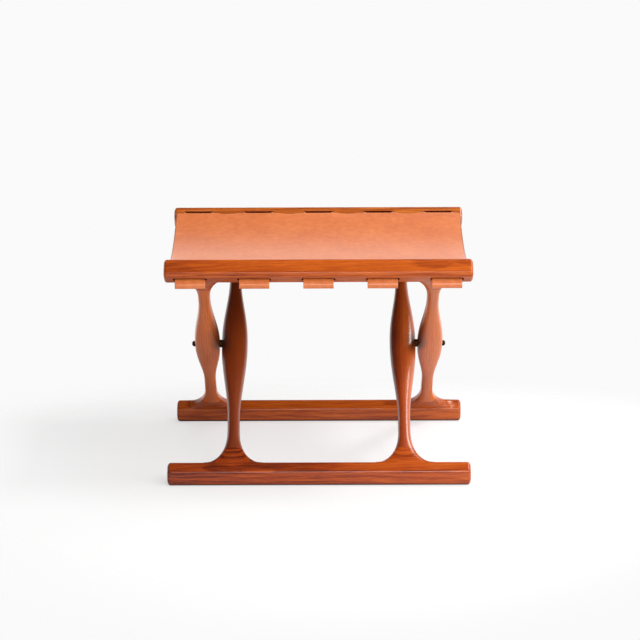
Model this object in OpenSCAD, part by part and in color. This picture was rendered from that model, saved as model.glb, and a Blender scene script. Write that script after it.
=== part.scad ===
// Folding stool: two wooden frames cross at a pivot, and a leather sling hangs between their seat rails.
// X runs along the rails, Y from front to back and Z up, with the origin on the floor under the middle.
// The outer frame stands on the back foot rail and carries the front seat rail; the inner frame mirrors it.
// A frame is drawn upright about the pivot: Z along its legs, +Y towards the other frame's seat rail.

/* [Frames] */
// Length of all four rails
rail_length = 490; // [470:1:560]
// Lean of each frame from upright, in degrees
frame_lean = 47.3; // [42:0.1:50]
// Distance along the legs from the pivot to the top of the seat rails
seat_reach = 264.5; // [255:0.5:280]
// Distance along the legs from the pivot to the shoulder of the foot rails
foot_reach = 230.5; // [226:0.5:250]
// Distance from the rails' ends to the middle of each outer leg
leg_inset = 60.8; // [59:0.1:80]

/* [Legs] */
// Width of a leg at the pivot
pivot_width = 41; // [36:0.5:46]
// Width of a leg at its necks
neck_width = 19.8; // [17:0.2:24]
// Thickness of a leg at the pivot, square to the frame
pivot_thickness = 26; // [22:0.5:30]
// Thickness of a leg at its necks, square to the frame
leg_thickness = 19; // [17:0.2:20]
// Distance along a leg over which the swelling at the pivot fades out
swell_reach = 125; // [100:1:150]
// Distance from the pivot at which the flare towards a rail starts
flare_start = 165; // [150:1:180]
// How far the flare spreads to each side where it meets a rail
flare_spread = 48; // [30:1:49]
// Length of a seat rail's stubs, from its underside to the glued joints with the legs
seat_stub = 34.5; // [30:0.5:40]
// Length of a foot rail's stubs, from its shoulder to the glued joints with the legs
foot_stub = 26.5; // [24:0.5:32]

/* [Rails] */
// Thickness of a seat rail, square to the frame
seat_rail_thickness = 31; // [28:0.5:34]
// Width of a seat rail, along the legs
seat_rail_width = 26; // [24:0.5:30]
// Height of the upright facet along the outer edge of a seat rail
seat_rail_facet = 7.6; // [5:0.2:9]
// Height of the ridge of a foot rail above the floor
foot_rail_height = 37; // [34:0.5:42]
// Width of the sloping outer facet of a foot rail
foot_rail_slope = 19.6; // [16:0.2:22]
// Width of the shoulder of a foot rail, which the legs stand on
foot_rail_shoulder = 19.4; // [19.2:0.1:22]
// Rounding of the seat rails' long edges
seat_edge_radius = 4.5; // [2:0.5:6]
// Rounding of the foot rails' edges on the floor
floor_edge_radius = 6; // [3:0.5:8]
// Rounding of the rails' ends
end_radius = 5; // [3:0.5:6]

/* [Leather] */
// Thickness of the leather
leather_thickness = 2.8; // [2:0.1:3.4]
// Drop of the seat's middle below the slots
seat_sag = 29; // [15:1:45]
// Distance from the rails' ends to the leather's sides
leather_inset = 4.5; // [2:0.5:12]
// How far the leather's sides bow outwards
side_bow = 1; // [0:0.5:3]
// Number of tabs along each seat rail
tab_count = 5; // [3:1:5]
// Distance from the rails' ends to the middle of each last tab
tab_inset = 41.6; // [38:0.1:50]
// Width of a tab
tab_width = 48; // [40:0.5:50]
// Depth of the scallops between the tabs
scallop_depth = 5; // [1:0.5:8]
// Depth of the leather in the slots below the top of the seat rails
slot_depth = 15.5; // [13.5:0.5:16]
// Height of the slots
slot_height = 7.2; // [5:0.2:7.6]
// Diameter of the pegs that the tabs are wrapped round
peg_diameter = 5.4; // [4.6:0.2:7]
// Turn of a tab round its peg, in degrees
wrap_turn = 282; // [240:1:285]
// Bend radius where the leather turns over the slot's lip, at its mid-thickness
lip_bend = 5; // [4.5:0.5:8]

/* [Pivot] */
// Width of the gap between an inner and an outer leg
leg_gap = 4.2; // [3:0.2:8]
// Diameter of the bolts' shanks
shank_diameter = 6; // [5:0.2:7]
// Diameter of the bolts' domed heads
head_diameter = 9.6; // [9:0.2:14]
// Height of the bolts' domed heads
head_height = 6.2; // [5:0.2:8]
// Height of the straight side of the bolts' heads
head_side = 2.2; // [1:0.2:3]
// Diameter of the spacer washers
spacer_diameter = 13; // [11:0.5:16]
// Depth of the flat seats cut round the pivot in the legs' sides
seat_cut = 0.6; // [0.3:0.1:1.2]
// Diameter of the threaded inserts in the inner legs
insert_diameter = 11; // [9:0.5:14]
// Length of the threaded inserts
insert_length = 20; // [15:1:25]

/* [Joinery] */
// Diameter of the dowels in the glued joints
dowel_diameter = 10; // [8:0.5:11]
// Length of the dowels
dowel_length = 48; // [40:1:52]

/* [Fits] */
// Radial clearance of the bolts in the outer legs
running_fit = 0.06; // [0.03:0.01:0.1]
// Clearance of glued and pressed parts
glue_fit = 0.05; // [0.02:0.01:0.1]
// Clearance round the leather
leather_fit = 0.3; // [0.2:0.05:0.5]
// Side play of the spacers between the legs
spacer_play = 0.1; // [0.05:0.05:0.3]

/* [Hidden] */

wood = "peru";
brass = "darkgoldenrod";
hide = "sandybrown";

// Places worked out from the driving sizes
underside_reach = seat_reach - seat_rail_width;
seat_joint = underside_reach - seat_stub;
foot_joint = foot_reach - foot_stub;
slot_reach = seat_reach - slot_depth;
pivot_height = foot_reach * cos(frame_lean) - foot_rail_shoulder / 2 * sin(frame_lean) + foot_rail_height;
outer_leg_x = rail_length / 2 - leg_inset;
inner_leg_x = outer_leg_x - pivot_width - leg_gap;
tab_pitch = (rail_length - 2 * tab_inset) / (tab_count - 1);
seat_half = seat_rail_thickness / 2;

// Fineness of the lofts
ring_points = 20;
leg_rings = 24;
flare_rings = 7;
corner_steps = 4;
end_steps = 4;

// Curves of the legs: squareness of their ovals, and how the swelling and the flares run
section_power = 2.7;
flare_power = 3.4;
swell_curve = 1.1;
flare_curve = 2.1;
flare_crowding = 1.6;
seat_flare_margin = 2;
foot_flare_margin = 0.2;
root_depth = 5;
root_margin = 0.4;

// Small roundings of the rails, and the least that is left of one at a rail's end
facet_radius = 2.5;
slope_radius = 3.5;
ridge_radius = 4;
shoulder_radius = 3;
least_radius = 0.3;
end_inset_share = 0.9;

// Small sizes of the fittings
socket_width = 4.2;
socket_depth = 2.4;
tip_gap = 1;
tip_chamfer = 1;
washer_chamfer = 0.6;
washer_fit = 0.15;
thread_fit = 0.03;
seat_margin = 0.75;
dowel_chamfer = 1.2;
dowel_end_gap = 1;
peg_chamfer = 0.5;
lip_gap = 0.5;
cut_overshoot = 5;

// Shapes that the lofts follow

function sign_pow(v, power) = sign(v) * pow(abs(v), power);

function lerp(a, b, share) = a + (b - a) * share;

function backwards(list) = [for (i = [len(list) - 1:-1:0]) list[i]];

// One ring of a leg: an oval with soft flats, across X and Y, at the height z
function oval_ring(half_x, half_y, z, power) =
    [for (i = [0:ring_points - 1])
        let (turn = 360 * (i + 0.5) / ring_points)
        [half_x * sign_pow(cos(turn), 2 / power), half_y * sign_pow(sin(turn), 2 / power), z]];

// Swelling of a leg: 1 at the pivot, falling smoothly to 0 at swell_reach
function swell(z) = pow(cos(90 * pow(min(1, abs(z) / swell_reach), swell_curve)), 2);

// Flare of a leg: 0 up to flare_start, rising to 1 along an elliptic curve that ends level with the rail
function flare(z, face) =
    let (share = min(1, max(0, (abs(z) - flare_start) / (face - flare_start))))
    1 - pow(1 - pow(share, flare_curve), 1 / flare_curve);

function leg_half_width(z, face) =
    lerp(neck_width, pivot_width, swell(z)) / 2 + flare_spread * flare(z, face);

function leg_half_thickness(z, face, rail_half) =
    lerp(leg_thickness, pivot_thickness, swell(z)) / 2 + (rail_half - leg_thickness / 2) * flare(z, face);

function leg_ring(z) =
    let (
        face = z > 0 ? underside_reach : foot_reach,
        rail_half = z > 0 ? seat_half - seat_flare_margin : foot_rail_shoulder / 2 - foot_flare_margin,
        power = lerp(section_power, flare_power, flare(z, face))
    )
    oval_ring(leg_half_width(z, face), leg_half_thickness(z, face, rail_half), z, power);

// A solid through rings of equally many points
module loft(rings) {
    count = len(rings[0]);
    last = (len(rings) - 1) * count;
    polyhedron(
        points = [for (ring = rings) each ring],
        faces = [
            [for (i = [0:count - 1]) i],
            for (r = [0:len(rings) - 2], i = [0:count - 1])
                let (j = (i + 1) % count)
                each [
                    [r * count + i, (r + 1) * count + j, r * count + j],
                    [r * count + i, (r + 1) * count + i, (r + 1) * count + j]
                ],
            [for (i = [count - 1:-1:0]) last + i]
        ],
        convexity = 4
    );
}

// Sections of the rails, as corner lists [y, z, radius] in order, with the ends' rounding as an inset

function corner_turn(corners, i) =
    let (
        n = len(corners),
        here = [corners[i][0], corners[i][1]],
        before = [corners[(i + n - 1) % n][0], corners[(i + n - 1) % n][1]],
        after = [corners[(i + 1) % n][0], corners[(i + 1) % n][1]],
        u = (before - here) / norm(before - here),
        v = (after - here) / norm(after - here)
    )
    [here, u, v, acos(u * v) / 2, (u + v) / norm(u + v)];

function rounded_outline(corners, inset) =
    [for (i = [0:len(corners) - 1])
        let (
            turn = corner_turn(corners, i),
            half = turn[3],
            radius = max(least_radius, corners[i][2] - inset),
            centre = turn[0] + turn[4] * ((inset + radius) / sin(half)),
            facing = atan2(-turn[4][1], -turn[4][0]),
            sweep = 90 - half
        )
        for (k = [0:corner_steps])
            let (a = facing + lerp(-sweep, sweep, k / corner_steps))
            centre + radius * [cos(a), sin(a)]];

function rail_rings(corners) =
    let (flat_half = rail_length / 2 - end_radius)
    [for (side = [-1, 1], k = [0:end_steps])
        let (
            a = side < 0 ? 90 - 90 * k / end_steps : 90 * k / end_steps,
            x = side * (flat_half + end_radius * sin(a)),
            inset = end_radius * (1 - cos(a))
        )
        [for (p = rounded_outline(corners, min(inset, end_radius * end_inset_share))) [x, p[0], p[1]]]];

// Seat rail, in the frame's own directions: y towards the other frame, z along the legs
function seat_corners() =
    [
        [-seat_half, underside_reach, seat_edge_radius],
        [seat_half, underside_reach, seat_edge_radius],
        [seat_half, seat_reach, seat_edge_radius],
        [-seat_half + seat_rail_facet * sin(frame_lean), seat_reach, facet_radius],
        [-seat_half, seat_reach - seat_rail_facet * cos(frame_lean), facet_radius]
    ];

// Foot rail, standing on the floor: y outwards from the stool's middle, z up
function foot_corners() =
    let (
        ridge_y = foot_reach * sin(frame_lean) + foot_rail_shoulder / 2 * cos(frame_lean),
        outer_y = ridge_y + foot_rail_slope * sin(frame_lean),
        inner_y = ridge_y - foot_rail_shoulder * cos(frame_lean)
    )
    [
        [inner_y, 0, floor_edge_radius],
        [outer_y, 0, floor_edge_radius],
        [outer_y, foot_rail_height - foot_rail_slope * cos(frame_lean), slope_radius],
        [ridge_y, foot_rail_height, ridge_radius],
        [inner_y, foot_rail_height - foot_rail_shoulder * sin(frame_lean), shoulder_radius]
    ];

// Placing

// Turns what is drawn upright about the pivot into the outer frame's place
module in_outer_frame() {
    translate([0, 0, pivot_height]) rotate([frame_lean, 0, 0]) children();
}

// The other frame is the same thing seen in a mirror across the stool
module in_inner_frame() {
    mirror([0, 1, 0]) in_outer_frame() children();
}

module along_x(length) {
    translate([-length / 2, 0, 0]) rotate([90, 0, 90]) linear_extrude(height = length) children();
}

// Wooden parts, drawn in a frame's own directions

module dowel_hole(x, z) {
    depth = dowel_length / 2 + dowel_end_gap;
    translate([x, 0, z - depth]) cylinder(h = 2 * depth, d = dowel_diameter + 2 * glue_fit, $fn = 48);
}

module seat_rail_wood(leg_x) {
    color(wood) difference() {
        union() {
            loft(rail_rings(seat_corners()));
            for (side = [-1, 1]) translate([side * leg_x, 0, 0]) stub(seat_joint, underside_reach);
        }
        for (x = tab_places()) translate([x, 0, slot_reach]) slot();
        for (side = [-1, 1]) dowel_hole(side * leg_x, seat_joint);
    }
}

// The flared stub that a leg meets, sunk into its rail
module stub(joint, face) {
    way = sign(face);
    last = face - way * root_margin;
    rings = [
        for (k = [0:flare_rings]) leg_ring(lerp(joint, last, 1 - pow(1 - k / flare_rings, flare_crowding))),
        [for (p = leg_ring(last)) [p[0], p[1], face + way * root_depth]]
    ];
    loft(way > 0 ? rings : backwards(rings));
}

// A slot through a seat rail for one tab, with round ends; the leather lies on its lower side
module slot() {
    round = slot_height / 2;
    leather_low = round - leather_fit;
    end_reach = sqrt(round * round - leather_low * leather_low);
    straight = tab_width + 2 * leather_fit - 2 * end_reach;
    reach = seat_rail_thickness + 2 * cut_overshoot;
    rise = round - leather_thickness / 2 - leather_fit;
    rotate([90, 0, 0]) translate([0, rise, -reach / 2]) linear_extrude(height = reach) {
        square([straight, slot_height], center = true);
        for (side = [-1, 1]) translate([side * straight / 2, 0]) circle(d = slot_height, $fn = 32);
    }
}

module foot_rail_wood(leg_x) {
    color(wood) difference() {
        union() {
            loft(rail_rings(foot_corners()));
            in_outer_frame() for (side = [-1, 1])
                translate([side * leg_x, 0, 0]) stub(-foot_joint, -foot_reach);
        }
        in_outer_frame() for (side = [-1, 1]) dowel_hole(side * leg_x, -foot_joint);
    }
}

// A leg between its two glued joints, with a round flat seat at each [x, diameter] of its sides
module leg_wood(leg_x, hole_diameter, hole_from, hole_to, seats) {
    color(wood) difference() {
        translate([leg_x, 0, 0])
            loft([for (k = [0:leg_rings]) leg_ring(lerp(-foot_joint, seat_joint, k / leg_rings))]);
        translate([hole_from, 0, 0]) rotate([0, 90, 0])
            cylinder(h = hole_to - hole_from, d = hole_diameter, $fn = 64);
        for (seat = seats) translate([seat[0], 0, 0]) rotate([0, 90, 0])
            cylinder(h = 2 * seat_cut, d = seat[1] + 2 * seat_margin, center = true, $fn = 64);
        for (z = [-foot_joint, seat_joint]) dowel_hole(leg_x, z);
    }
}

function tab_places() = [for (i = [0:tab_count - 1]) (i - (tab_count - 1) / 2) * tab_pitch];

module dowels(leg_x) {
    color(wood)
        for (side = [-1, 1], z = [-foot_joint, seat_joint])
            translate([side * leg_x, 0, z - dowel_length / 2])
                rounded_pin(dowel_length, dowel_diameter, dowel_chamfer);
}

// A round pin with chamfered ends
module rounded_pin(length, diameter, chamfer) {
    rotate_extrude($fn = 48) polygon([
        [0, 0],
        [diameter / 2 - chamfer, 0],
        [diameter / 2, chamfer],
        [diameter / 2, length - chamfer],
        [diameter / 2 - chamfer, length],
        [0, length]
    ]);
}

// Pivot, drawn along +X for the right-hand side

inner_leg_side = inner_leg_x + pivot_width / 2;
outer_leg_inside = outer_leg_x - pivot_width / 2;
outer_leg_side = outer_leg_x + pivot_width / 2;

module pivot_bolt() {
    seat_x = outer_leg_side - seat_cut;
    tip_x = inner_leg_side - seat_cut - insert_length;
    dome = head_height - head_side;
    radius = head_diameter / 2;
    curve = (radius * radius + dome * dome) / (2 * dome);
    sweep = asin(radius / curve);
    color(brass) translate([tip_x, 0, 0]) rotate([0, 90, 0]) difference() {
        rotate_extrude($fn = 64) polygon([
            [0, tip_gap],
            [shank_diameter / 2 - tip_chamfer, tip_gap],
            [shank_diameter / 2, tip_gap + tip_chamfer],
            [shank_diameter / 2, seat_x - tip_x],
            [radius, seat_x - tip_x],
            for (k = [0:8])
                let (a = sweep * (1 - k / 8))
                [curve * sin(a), seat_x - tip_x + head_side + curve * cos(a) - (curve - dome)]
        ]);
        translate([0, 0, seat_x - tip_x + head_height - socket_depth])
            cylinder(h = 2 * socket_depth, d = socket_width, $fn = 6);
    }
}

module spacer() {
    thickness = leg_gap + 2 * seat_cut - spacer_play;
    color(brass) translate([inner_leg_side - seat_cut, 0, 0]) rotate([0, 90, 0]) difference() {
        rounded_pin(thickness, spacer_diameter, washer_chamfer);
        translate([0, 0, -1]) cylinder(h = thickness + 2, d = shank_diameter + 2 * washer_fit, $fn = 64);
    }
}

module insert() {
    depth = insert_length - glue_fit;
    start_x = inner_leg_side - seat_cut - insert_length;
    color(brass) translate([start_x, 0, 0]) rotate([0, 90, 0]) difference() {
        cylinder(h = depth, d = insert_diameter, $fn = 64);
        translate([0, 0, -1]) cylinder(h = depth + 2, d = shank_diameter + 2 * thread_fit, $fn = 64);
    }
}

// Leather, as a strip along points [y, z, heading] from the seat's middle outwards and down the back rail

slot_place = [
    slot_reach * sin(frame_lean) - seat_half * cos(frame_lean),
    pivot_height + slot_reach * cos(frame_lean) + seat_half * sin(frame_lean)
];
into_slot = [cos(frame_lean), -sin(frame_lean)];
seat_pitch = atan(2 * seat_sag / slot_place[0]);
lip_place = slot_place + into_slot * lip_gap;
lip_centre = lip_place - lip_bend * [sin(frame_lean), cos(frame_lean)];
lip_start = lip_centre + lip_bend * [-sin(seat_pitch), cos(seat_pitch)];
seat_middle = lip_start[1] - lip_start[0] * tan(seat_pitch) / 2;

roll_bore = peg_diameter / 2 + leather_fit;
roll_middle = roll_bore + leather_thickness / 2;
roll_reach = seat_rail_thickness + leather_fit + roll_bore + leather_thickness;
roll_start = slot_place + into_slot * roll_reach;
roll_centre = roll_start - roll_middle * [sin(frame_lean), cos(frame_lean)];

hang_steps = 12;
lip_steps = 5;
roll_steps = 18;
lip_cut = 4;

// The points of an arc that turns clockwise from one heading to another
function arc_points(centre, radius, from, to, steps, first) =
    [for (k = [first:steps])
        let (h = lerp(from, to, k / steps))
        [centre[0] - radius * sin(h), centre[1] + radius * cos(h), h]];

function hang_points() =
    [for (k = [0:hang_steps])
        let (y = lip_start[0] * k / hang_steps, slope = tan(seat_pitch) * y / lip_start[0])
        [y, seat_middle + slope * y / 2, atan(slope)]];

lip_points = arc_points(lip_centre, lip_bend, seat_pitch, -frame_lean, lip_steps, 1);
roll_points = arc_points(roll_centre, roll_middle, -frame_lean, -frame_lean - wrap_turn, roll_steps, 0);

panel_half = concat(hang_points(), [for (k = [0:lip_cut - 1]) lip_points[k]]);
tab_strip = concat([for (k = [lip_cut - 1:lip_steps - 1]) lip_points[k]], roll_points);

// The point that far above a [y, z, heading], square to its heading
function above(p, distance) = [p[0] - sin(p[2]) * distance, p[1] + cos(p[2]) * distance];

// A strip of even thickness along a list of [y, z, heading]
function strip(path) =
    concat(
        [for (p = path) above(p, leather_thickness / 2)],
        [for (p = backwards(path)) above(p, -leather_thickness / 2)]
    );

function mirrored(path) = [for (p = backwards(path)) [-p[0], p[1], -p[2]]];

// Plan of the leather: bowed sides, and scallops between the tabs
panel_edge = panel_half[len(panel_half) - 1][0];
panel_side = rail_length / 2 - leather_inset;

function side_points(steps) =
    [for (k = [0:steps])
        let (y = lerp(-panel_edge, panel_edge, k / steps))
        [panel_side + side_bow * (1 - pow(y / panel_edge, 2)), y]];

module scallop(from_x, to_x, edge_y) {
    chord = to_x - from_x;
    radius = (chord * chord / 4 + scallop_depth * scallop_depth) / (2 * scallop_depth);
    translate([(from_x + to_x) / 2, edge_y - scallop_depth + radius]) circle(r = radius, $fn = 180);
}

module panel_plan() {
    beyond = 8;
    tabs = tab_places();
    first_edge = tabs[0] - tab_width / 2;
    difference() {
        union() {
            polygon(concat(side_points(12), [for (p = side_points(12)) [-p[0], -p[1]]]));
            for (x = tabs) square_between(x - tab_width / 2, x + tab_width / 2, panel_edge + beyond);
        }
        for (way = [0, 1]) mirror([0, way]) {
            for (i = [0:len(tabs) - 2])
                scallop(tabs[i] + tab_width / 2, tabs[i + 1] - tab_width / 2, panel_edge);
            for (side = [0, 1]) mirror([side, 0])
                scallop(first_edge - (tab_pitch - tab_width), first_edge, panel_edge);
        }
    }
}

module square_between(from_x, to_x, half_y) {
    translate([from_x, -half_y]) square([to_x - from_x, 2 * half_y]);
}

module leather() {
    color(hide) union() {
        intersection() {
            along_x(rail_length) polygon(strip(concat(mirrored(panel_half), panel_half)));
            linear_extrude(height = seat_middle + seat_reach) panel_plan();
        }
        for (x = tab_places(), way = [0, 1])
            mirror([0, way, 0]) translate([x, 0, 0]) along_x(tab_width) polygon(strip(tab_strip));
    }
}

module loop_pegs() {
    color(wood) for (x = tab_places())
        translate([x - tab_width / 2, roll_centre[0], roll_centre[1]]) rotate([0, 90, 0])
            rounded_pin(tab_width, peg_diameter, peg_chamfer);
}

// Nodes

module on_left() {
    mirror([1, 0, 0]) children();
}

module outer_seat_rail() { in_outer_frame() seat_rail_wood(outer_leg_x); }
module outer_foot_rail() { foot_rail_wood(outer_leg_x); }
module outer_right_leg() {
    in_outer_frame() leg_wood(outer_leg_x, shank_diameter + 2 * running_fit,
        outer_leg_inside - cut_overshoot, outer_leg_side + cut_overshoot,
        [[outer_leg_inside, spacer_diameter], [outer_leg_side, head_diameter]]);
}
module outer_left_leg() { on_left() outer_right_leg(); }
module outer_dowels() { in_outer_frame() dowels(outer_leg_x); }

module inner_seat_rail() { in_inner_frame() seat_rail_wood(inner_leg_x); }
module inner_foot_rail() { mirror([0, 1, 0]) foot_rail_wood(inner_leg_x); }
module inner_right_leg() {
    in_inner_frame() leg_wood(inner_leg_x, insert_diameter + 2 * glue_fit,
        inner_leg_side - seat_cut - insert_length - glue_fit, inner_leg_side + cut_overshoot,
        [[inner_leg_side, spacer_diameter]]);
}
module inner_left_leg() { on_left() inner_right_leg(); }
module inner_dowels() { in_inner_frame() dowels(inner_leg_x); }

module at_pivot() {
    translate([0, 0, pivot_height]) children();
}

module right_pivot_bolt() { at_pivot() pivot_bolt(); }
module left_pivot_bolt() { on_left() right_pivot_bolt(); }
module right_spacer() { at_pivot() spacer(); }
module left_spacer() { on_left() right_spacer(); }
module right_insert() { at_pivot() insert(); }
module left_insert() { on_left() right_insert(); }

module leather_seat() { leather(); }
module back_loop_pegs() { loop_pegs(); }
module front_loop_pegs() { mirror([0, 1, 0]) loop_pegs(); }

outer_seat_rail();
outer_foot_rail();
outer_left_leg();
outer_right_leg();
outer_dowels();
inner_seat_rail();
inner_foot_rail();
inner_left_leg();
inner_right_leg();
inner_dowels();
left_pivot_bolt();
right_pivot_bolt();
left_spacer();
right_spacer();
left_insert();
right_insert();
leather_seat();
front_loop_pegs();
back_loop_pegs();
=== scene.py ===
import math

import bmesh
import bpy
from mathutils import Matrix, Vector


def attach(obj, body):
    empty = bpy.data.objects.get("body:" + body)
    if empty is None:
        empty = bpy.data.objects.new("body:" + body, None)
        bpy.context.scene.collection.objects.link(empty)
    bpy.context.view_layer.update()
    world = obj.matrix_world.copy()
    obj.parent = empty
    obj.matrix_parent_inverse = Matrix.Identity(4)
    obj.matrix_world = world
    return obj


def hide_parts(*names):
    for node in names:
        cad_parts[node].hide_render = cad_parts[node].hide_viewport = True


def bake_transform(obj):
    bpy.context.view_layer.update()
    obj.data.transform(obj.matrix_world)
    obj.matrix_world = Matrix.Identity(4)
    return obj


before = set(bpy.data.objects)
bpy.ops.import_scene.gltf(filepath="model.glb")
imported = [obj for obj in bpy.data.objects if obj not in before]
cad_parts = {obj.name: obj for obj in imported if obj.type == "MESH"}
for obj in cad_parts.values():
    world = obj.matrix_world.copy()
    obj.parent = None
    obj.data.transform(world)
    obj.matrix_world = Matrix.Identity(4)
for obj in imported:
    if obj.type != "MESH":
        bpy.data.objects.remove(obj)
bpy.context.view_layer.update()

# Sizes of the stool in millimetres. They are those of the part's source, except that the legs' swell, the
# curve of the flares, the slots and two of the rails' roundings were measured once more. They stand up to
# 2.5 mm off its solids.
MM = 0.001
LEAN = math.radians(47.3)

# Rails; the reaches run along a frame from the pivot
RAIL_LENGTH = 490
END_RADIUS = 5
SEAT_REACH = 264.5
SEAT_RAIL_THICKNESS = 31
SEAT_RAIL_WIDTH = 26
SEAT_RAIL_FACET = 7.6
FOOT_REACH = 230.5
FOOT_RAIL_HEIGHT = 37
FOOT_RAIL_SLOPE = 19.6
FOOT_RAIL_SHOULDER = 19.4

# Legs, and the stubs that flare from the rails to meet them. PIVOT_WIDTH places the bolts and spacers, and
# the ovals there are a little wider.
INNER_LEG_X = 139
LEG_GAP = 4.2
PIVOT_WIDTH = 41
OUTER_PIVOT_WIDTH = 42
INNER_PIVOT_WIDTH = 43
PIVOT_THICKNESS = 26
NECK_WIDTH = 19.8
LEG_THICKNESS = 19
SWELL_REACH = 125
OUTER_UPPER_REACH = 152
INNER_LOWER_REACH = 145
SWELL_FULLNESS = 1.1
OUTER_SQUARENESS = 2.7
INNER_SQUARENESS = 2.3
FLARE_SQUARENESS = 3.4
FLARE_START = 165
FLARE_SPREAD = 48
FLARE_CURVE = 2.4
SEAT_FLARE_INSET = 2
FOOT_FLARE_INSET = 0.2
SEAT_STUB = 34.5
FOOT_STUB = 26.5
STUB_ROOT = 5
STUB_EDGE = 0.04

# Bolts and spacers, and the flats cut for them in the legs' sides
SHANK = 6
SHANK_EDGE = 1
BOLT_REACH = 19
HEAD = 9.6
HEAD_EDGE = 0.4
HEAD_HEIGHT = 6.2
HEAD_SIDE = 2.2
SOCKET_SPREAD = 0.38
SOCKET_RADIUS = 1.9
SOCKET_DEPTH = 1.8
SPACER = 13
SPACER_EDGE = 0.6
SPACER_PLAY = 0.1
BORE_PLAY = 0.15
SEAT_CUT = 0.6
FLAT_MARGIN = 1.5

# Leather, its slots and the pegs in its rolled tabs
LEATHER = 2.8
LEATHER_EDGE = 0.45
LEATHER_INSET = 4.5
LEATHER_FIT = 0.3
SEAT_SAG = 29
SIDE_BOW = 1
TABS = 5
TAB_PITCH = 101.7
TAB_WIDTH = 48
SCALLOP = 6.5
CURL_WIDTH = 5
CURL_REACH = 9
CURL_HEIGHT = 1.8
LIP_BEND = 5
LIP_MOUTH = 0.5
SLOT_DEPTH = 15.9
SLOT_HEIGHT = 7.8
SLOT_RIM = 0.7
PEG = 5.4
PEG_EDGE = 0.5
WRAP_TURN = math.radians(282)

# Painted shade on the wood round the spacers, for their shadow and the next leg's dark reflection
SPACER_SHADE_ABOVE_PIVOT = 4
SPACER_SHADE_FULL = 5
SPACER_SHADE_END = 22

SIN = math.sin(LEAN)
COS = math.cos(LEAN)
UNDERSIDE = SEAT_REACH - SEAT_RAIL_WIDTH
SLOT_REACH = SEAT_REACH - SLOT_DEPTH
SEAT_JOINT = UNDERSIDE - SEAT_STUB
FOOT_JOINT = FOOT_REACH - FOOT_STUB
SEAT_HALF = SEAT_RAIL_THICKNESS / 2
PIVOT_Z = FOOT_REACH * COS - FOOT_RAIL_SHOULDER / 2 * SIN + FOOT_RAIL_HEIGHT
OUTER_LEG_X = INNER_LEG_X + PIVOT_WIDTH + LEG_GAP
INNER_SIDE_X = INNER_LEG_X + PIVOT_WIDTH / 2
OUTER_INSIDE_X = OUTER_LEG_X - PIVOT_WIDTH / 2
OUTER_SIDE_X = OUTER_LEG_X + PIVOT_WIDTH / 2
TAB_PLACES = [(i - (TABS - 1) / 2) * TAB_PITCH for i in range(TABS)]

# How finely the shapes are drawn
OVAL_SIDES = 96
LEG_RINGS = 150
STUB_RINGS = 40
ROUND_STEPS = 8
SMALL_ROUND_STEPS = 3
TURNED_STEPS = 48
DOME_STEPS = 10
SLOT_SIDES = 40
PEG_SIDES = 32
HANG_STEPS = 400
PANEL_ROWS = 90
PANEL_ROW_EASE = 1.25
TAB_ROWS = 12
ROLL_ROWS = 36

# A frame is shaped upright about the pivot; these lean it into place, in metres
TO_METRES = Matrix.Scale(MM, 4)
AT_PIVOT = Matrix.Translation((0, 0, PIVOT_Z * MM)) @ Matrix.Scale(MM, 4)
LEAN_OUTER = Matrix.Translation((0, 0, PIVOT_Z * MM)) @ Matrix.Rotation(LEAN, 4, "X") @ Matrix.Scale(MM, 4)
BACK_TO_FRONT = Matrix.Scale(-1, 4, (0, 1, 0))
LEAN_INNER = BACK_TO_FRONT @ LEAN_OUTER


# Shapes shared by the legs and the flared stubs

def lerp(a, b, share):
    return a + (b - a) * share


def swell(z, reach):
    """1 at the pivot and 0 from reach on."""
    return math.cos(math.pi / 2 * min(1, abs(z) / reach) ** SWELL_FULLNESS) ** 2


def flare(z):
    """0 along the leg and 1 at the rail's face."""
    face = UNDERSIDE if z > 0 else FOOT_REACH
    share = min(1, max(0, (abs(z) - FLARE_START) / (face - FLARE_START)))
    return 1 - (1 - share ** FLARE_CURVE) ** (1 / FLARE_CURVE)


def leg_section(z, outer):
    """Half width, half thickness and squareness of the oval at z; a leg swells longer on its front half."""
    above = z > 0
    if outer:
        swollen = swell(z, OUTER_UPPER_REACH if above else SWELL_REACH)
        widest, squareness = OUTER_PIVOT_WIDTH, OUTER_SQUARENESS
    else:
        swollen = swell(z, SWELL_REACH if above else INNER_LOWER_REACH)
        widest, squareness = INNER_PIVOT_WIDTH, INNER_SQUARENESS
    spread = flare(z)
    rail_half = SEAT_HALF - SEAT_FLARE_INSET if above else FOOT_RAIL_SHOULDER / 2 - FOOT_FLARE_INSET
    half_width = lerp(NECK_WIDTH, widest, swollen) / 2 + FLARE_SPREAD * spread
    half_thickness = lerp(LEG_THICKNESS, PIVOT_THICKNESS, swollen) / 2
    half_thickness += (rail_half - LEG_THICKNESS / 2) * spread
    return half_width, half_thickness, lerp(squareness, FLARE_SQUARENESS, spread)


def soft_power(value, power):
    return math.copysign(abs(value) ** power, value)


def unit_tube(sides, cuts):
    """A closed tube of radius 1 along Z from 0 to 1, with even rings."""
    bm = bmesh.new()
    bmesh.ops.create_cone(bm, cap_ends=True, segments=sides, radius1=1, radius2=1, depth=1)
    bmesh.ops.translate(bm, verts=bm.verts, vec=(0, 0, 0.5))
    upright = [e for e in bm.edges if abs(e.verts[0].co.z - e.verts[1].co.z) > 0.5]
    bmesh.ops.subdivide_edges(bm, edges=upright, cuts=cuts, use_grid_fill=True)
    return bm


def carve_oval(bm, reach_at, middle_x):
    """Shapes a unit tube into a leg's ovals.

    reach_at turns a share of the tube's length into its place and the place whose oval it takes."""
    outer = abs(middle_x) == OUTER_LEG_X
    for v in bm.verts:
        turn = math.atan2(v.co.y, v.co.x)
        z, section_z = reach_at(v.co.z)
        half_x, half_y, power = leg_section(section_z, outer)
        v.co = (
            middle_x + half_x * soft_power(math.cos(turn), 2 / power),
            half_y * soft_power(math.sin(turn), 2 / power),
            z,
        )


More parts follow.
